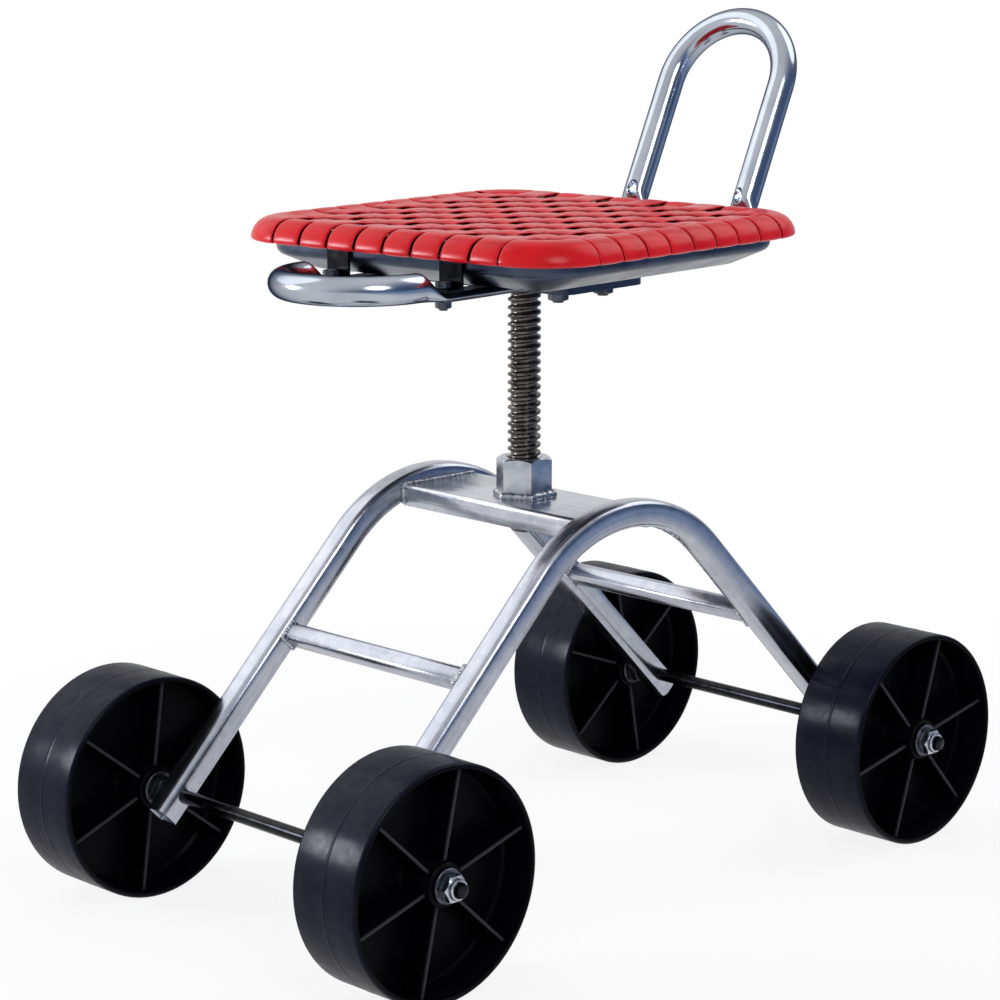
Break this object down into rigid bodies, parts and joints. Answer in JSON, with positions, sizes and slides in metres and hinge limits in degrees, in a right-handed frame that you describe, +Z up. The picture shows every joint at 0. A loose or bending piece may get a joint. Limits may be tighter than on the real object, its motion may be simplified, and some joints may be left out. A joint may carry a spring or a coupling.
{
  "type": "rolling garden seat",
  "caption": "Low garden work seat with a woven strap top and small tube backrest, turning on a lift screw over a wheeled arch frame.",
  "frame": {"origin": "on the floor, midway between the axles and under the lift screw", "axes": "+Z up; -Y is the front, where the handle is; +X is the sitter's left, along the axles"},
  "size_m": [0.389, 0.648, 0.6152],
  "materials": {
    "galvanised_tube": "satin",
    "bright_zinc": "satin",
    "weld_metal": "matte",
    "dark_steel": "satin",
    "polished_tube": "polished",
    "pressed_steel": "satin",
    "wheel_plastic": "satin",
    "red_strap": "gloss"
  },
  "bodies": {
    "frame": {"left_arch": "galvanised_tube", "right_arch": "galvanised_tube", "front_crossbar": "galvanised_tube", "rear_crossbar": "galvanised_tube", "screw_plate": "galvanised_tube", "lift_nut": "bright_zinc", "nut_weld": "weld_metal", "front_axle": "dark_steel", "rear_axle": "dark_steel", "leg_nut_front_left": "bright_zinc", "leg_nut_front_right": "bright_zinc", "leg_nut_rear_left": "bright_zinc", "leg_nut_rear_right": "bright_zinc", "inner_washer_front_left": "bright_zinc", "inner_washer_front_right": "bright_zinc", "inner_washer_rear_left": "bright_zinc", "inner_washer_rear_right": "bright_zinc", "outer_washer_front_left": "bright_zinc", "outer_washer_front_right": "bright_zinc", "outer_washer_rear_left": "bright_zinc", "outer_washer_rear_right": "bright_zinc", "lock_nut_front_left": "bright_zinc", "lock_nut_front_right": "bright_zinc", "lock_nut_rear_left": "bright_zinc", "lock_nut_rear_right": "bright_zinc"},
    "wheel_front_left": {"wheel_front_left": "wheel_plastic"},
    "wheel_front_right": {"wheel_front_right": "wheel_plastic"},
    "wheel_rear_left": {"wheel_rear_left": "wheel_plastic"},
    "wheel_rear_right": {"wheel_rear_right": "wheel_plastic"},
    "lift_stop": {"stop_washer": "bright_zinc"},
    "seat": {"lift_screw": "dark_steel", "stop_bolt": "bright_zinc", "flange_plate": "galvanised_tube", "seat_pan": "pressed_steel", "handle_loop": "polished_tube", "backrest_loop": "polished_tube", "seat_ring": "pressed_steel", "seat_weave": "red_strap", "handle_bracket_left": "bright_zinc", "handle_bracket_right": "bright_zinc", "handle_bolt_left": "bright_zinc", "handle_bolt_right": "bright_zinc", "handle_bolt_nut_left": "bright_zinc", "handle_bolt_nut_right": "bright_zinc", "seat_bolt_front_left": "bright_zinc", "seat_bolt_front_right": "bright_zinc", "seat_bolt_rear_left": "bright_zinc", "seat_bolt_rear_right": "bright_zinc", "seat_bolt_nut_front_left": "bright_zinc", "seat_bolt_nut_front_right": "bright_zinc", "seat_bolt_nut_rear_left": "bright_zinc", "seat_bolt_nut_rear_right": "bright_zinc"}
  },
  "joints": [
    {"name": "wheel_front_left_spin", "type": "hinge", "parent": "frame", "child": "wheel_front_left", "pos_m": [0.1499, -0.244, 0.08], "axis": [1, 0, 0], "continuous": true},
    {"name": "wheel_front_right_spin", "type": "hinge", "parent": "frame", "child": "wheel_front_right", "pos_m": [-0.1499, -0.244, 0.08], "axis": [1, 0, 0], "continuous": true},
    {"name": "wheel_rear_left_spin", "type": "hinge", "parent": "frame", "child": "wheel_rear_left", "pos_m": [0.1499, 0.244, 0.08], "axis": [1, 0, 0], "continuous": true},
    {"name": "wheel_rear_right_spin", "type": "hinge", "parent": "frame", "child": "wheel_rear_right", "pos_m": [-0.1499, 0.244, 0.08], "axis": [1, 0, 0], "continuous": true},
    {"name": "seat_raise", "type": "slide", "parent": "frame", "child": "lift_stop", "axis": [0, 0, 1], "range_m": [-0.1201, 0.01205]},
    {"name": "seat_turn", "type": "hinge", "parent": "lift_stop", "child": "seat", "pos_m": [0, 0, 0.43], "axis": [0, 0, 1], "range_deg": [-7200, 720]}
  ],
  "couplings": [
    {"joint": "seat_raise", "follows": "seat_turn", "m_per_rad": 0.00095493}
  ]
}
